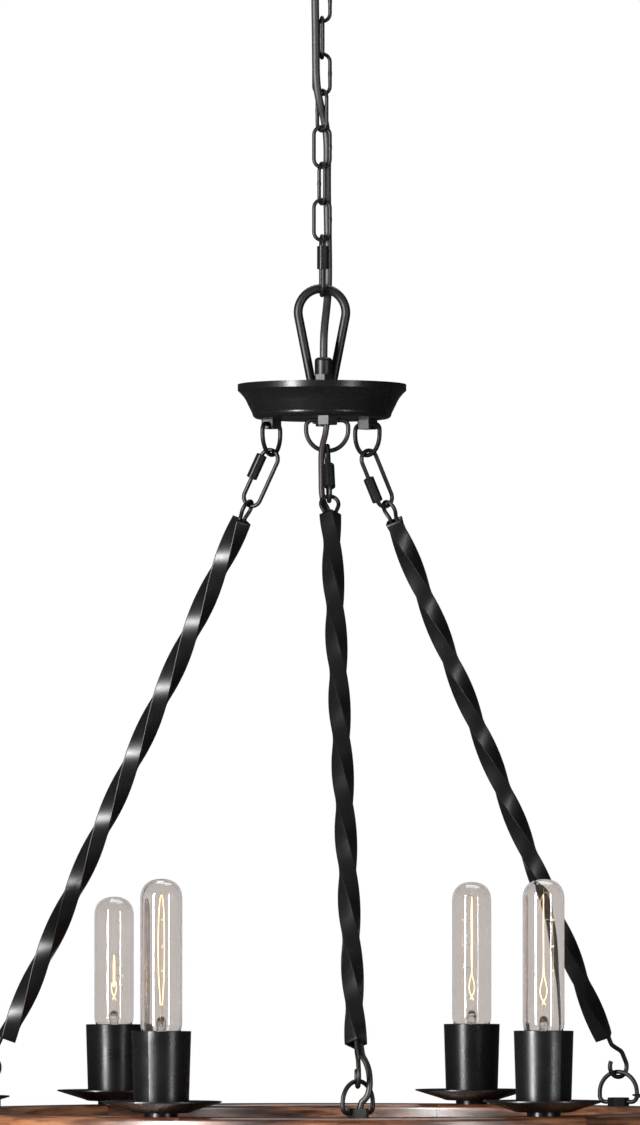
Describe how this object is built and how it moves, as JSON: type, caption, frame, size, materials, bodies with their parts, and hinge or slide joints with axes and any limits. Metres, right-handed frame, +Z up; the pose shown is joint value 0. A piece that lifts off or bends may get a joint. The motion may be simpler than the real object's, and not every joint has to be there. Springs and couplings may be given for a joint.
{
  "type": "wagon wheel chandelier",
  "caption": "Wooden wagon wheel hung level on twisted bars from a round hub, chain and canopy, with candle-cup lamps on drip pans around its rim.",
  "frame": {"origin": "the ceiling plane, at the middle of the crossbar's screws, on the axis of the canopy and the chain", "axes": "+Z up out of the ceiling plane, -Y towards the viewer and the front hanger, +X to the right"},
  "size_m": [0.676, 0.628, 1.0492],
  "materials": {
    "black_metal": "satin black powder coat",
    "brass_tinted_steel": "plain, brass-tinted plating",
    "wood": "varnished, red-brown stain",
    "cord": "satin black sheath",
    "inner_wiring": "matt black sheath",
    "socket": "matt black",
    "bulb_glass": "clear",
    "bulb_cap": "bright brass",
    "filament": "glowing carbon wire on a glass stem"
  },
  "bodies": {
    "ceiling": {"ceiling_crossbar": "black_metal", "canopy": "black_metal", "canopy_collar": "black_metal", "canopy_loop": "black_metal"},
    "first_link": {"first_chain_link": "black_metal"},
    "chain": {"chain_links": "black_metal", "top_quick_link": "black_metal", "supply_cord": "cord"},
    "top_sleeve": {"top_link_sleeve": "black_metal"},
    "hub": {"hub_loop": "black_metal", "hub_dish": "black_metal", "hub_cover": "black_metal", "cord_grip": "black_metal", "hub_fittings": "black_metal", "hub_rings": "black_metal", "hub_nuts": "brass_tinted_steel"},
    "hanger_front": {"hanger_link_front": "black_metal", "hanger_bar_front": "black_metal", "bar_wires_front": "black_metal", "wheel_cord": "cord"},
    "sleeve_front": {"hanger_sleeve_front": "black_metal"},
    "hanger_right": {"hanger_link_right": "black_metal", "hanger_bar_right": "black_metal", "bar_wires_right": "black_metal"},
    "sleeve_right": {"hanger_sleeve_right": "black_metal"},
    "hanger_left": {"hanger_link_left": "black_metal", "hanger_bar_left": "black_metal", "bar_wires_left": "black_metal"},
    "sleeve_left": {"hanger_sleeve_left": "black_metal"},
    "wheel": {"rim_felloes": "wood", "rim_fittings": "black_metal", "rim_rings": "black_metal", "rim_wiring": "inner_wiring", "wheel_spokes": "wood", "wheel_nave": "wood", "nave_bands": "black_metal", "pan_washers": "black_metal", "drip_pans": "black_metal", "candle_cups": "black_metal", "lamp_sockets": "socket", "light_tubes": "brass_tinted_steel", "light_nuts": "brass_tinted_steel"},
    "bulb_1": {"bulb_glass_1": "bulb_glass", "bulb_cap_1": "bulb_cap", "bulb_filament_1": "filament"},
    "bulb_2": {"bulb_glass_2": "bulb_glass", "bulb_cap_2": "bulb_cap", "bulb_filament_2": "filament"},
    "bulb_3": {"bulb_glass_3": "bulb_glass", "bulb_cap_3": "bulb_cap", "bulb_filament_3": "filament"},
    "bulb_4": {"bulb_glass_4": "bulb_glass", "bulb_cap_4": "bulb_cap", "bulb_filament_4": "filament"},
    "bulb_5": {"bulb_glass_5": "bulb_glass", "bulb_cap_5": "bulb_cap", "bulb_filament_5": "filament"},
    "bulb_6": {"bulb_glass_6": "bulb_glass", "bulb_cap_6": "bulb_cap", "bulb_filament_6": "filament"}
  },
  "joints": [
    {"name": "chain_swing_fore_aft", "type": "hinge", "parent": "ceiling", "child": "first_link", "pos_m": [0, 0, -0.061], "axis": [1, 0, 0], "range_deg": [-15, 15], "deforming": ["supply_cord"]},
    {"name": "chain_swing_sideways", "type": "hinge", "parent": "first_link", "child": "chain", "pos_m": [0, 0, -0.08885], "axis": [0, 1, 0], "range_deg": [-15, 15], "deforming": ["supply_cord"]},
    {"name": "hub_tilt", "type": "hinge", "parent": "chain", "child": "hub", "pos_m": [0, 0, -0.329], "axis": [1, 0, 0], "range_deg": [-12, 12], "deforming": ["supply_cord"]},
    {"name": "wheel_twist", "type": "hinge", "parent": "hub", "child": "wheel", "pos_m": [0, 0, -0.97622], "axis": [0, 0, 1], "range_deg": [-4, 4], "deforming": ["wheel_cord"]},
    {"name": "hanger_front_swing", "type": "hinge", "parent": "hub", "child": "hanger_front", "pos_m": [0, -0.0424, -0.45628], "axis": [0, -0.8919, 0.4522], "range_deg": [-2.5, 2.5], "deforming": ["wheel_cord"]},
    {"name": "sleeve_front_unscrew", "type": "slide", "parent": "hanger_front", "child": "sleeve_front", "axis": [0, 0.4512, 0.8924], "range_m": [0, 0.0085]},
    {"name": "hanger_right_swing", "type": "hinge", "parent": "hub", "child": "hanger_right", "pos_m": [0.03672, 0.0212, -0.45628], "axis": [0.7724, 0.446, 0.4522], "range_deg": [-2.5, 2.5]},
    {"name": "sleeve_right_unscrew", "type": "slide", "parent": "hanger_right", "child": "sleeve_right", "axis": [-0.3908, -0.2256, 0.8924], "range_m": [0, 0.0085]},
    {"name": "hanger_left_swing", "type": "hinge", "parent": "hub", "child": "hanger_left", "pos_m": [-0.03672, 0.0212, -0.45628], "axis": [-0.7724, 0.446, 0.4522], "range_deg": [-2.5, 2.5]},
    {"name": "sleeve_left_unscrew", "type": "slide", "parent": "hanger_left", "child": "sleeve_left", "axis": [-0.3908, 0.2256, -0.8924], "range_m": [0, 0.0085]},
    {"name": "top_sleeve_unscrew", "type": "slide", "parent": "chain", "child": "top_sleeve", "axis": [0, 0, -1], "range_m": [0, 0.0085]},
    {"name": "bulb_1_unscrew", "type": "slide", "parent": "wheel", "child": "bulb_1", "axis": [0, 0, 1], "range_m": [0, 0.027]},
    {"name": "bulb_2_unscrew", "type": "slide", "parent": "wheel", "child": "bulb_2", "axis": [0, 0, 1], "range_m": [0, 0.027]},
    {"name": "bulb_3_unscrew", "type": "slide", "parent": "wheel", "child": "bulb_3", "axis": [0, 0, 1], "range_m": [0, 0.027]},
    {"name": "bulb_4_unscrew", "type": "slide", "parent": "wheel", "child": "bulb_4", "axis": [0, 0, 1], "range_m": [0, 0.027]},
    {"name": "bulb_5_unscrew", "type": "slide", "parent": "wheel", "child": "bulb_5", "axis": [0, 0, 1], "range_m": [0, 0.027]},
    {"name": "bulb_6_unscrew", "type": "slide", "parent": "wheel", "child": "bulb_6", "axis": [0, 0, 1], "range_m": [0, 0.027]}
  ],
  "couplings": [
    {"joint": "hanger_front_swing", "follows": "wheel_twist", "ratio": 0.52899},
    {"joint": "hanger_right_swing", "follows": "wheel_twist", "ratio": 0.52899},
    {"joint": "hanger_left_swing", "follows": "wheel_twist", "ratio": 0.52899}
  ]
}
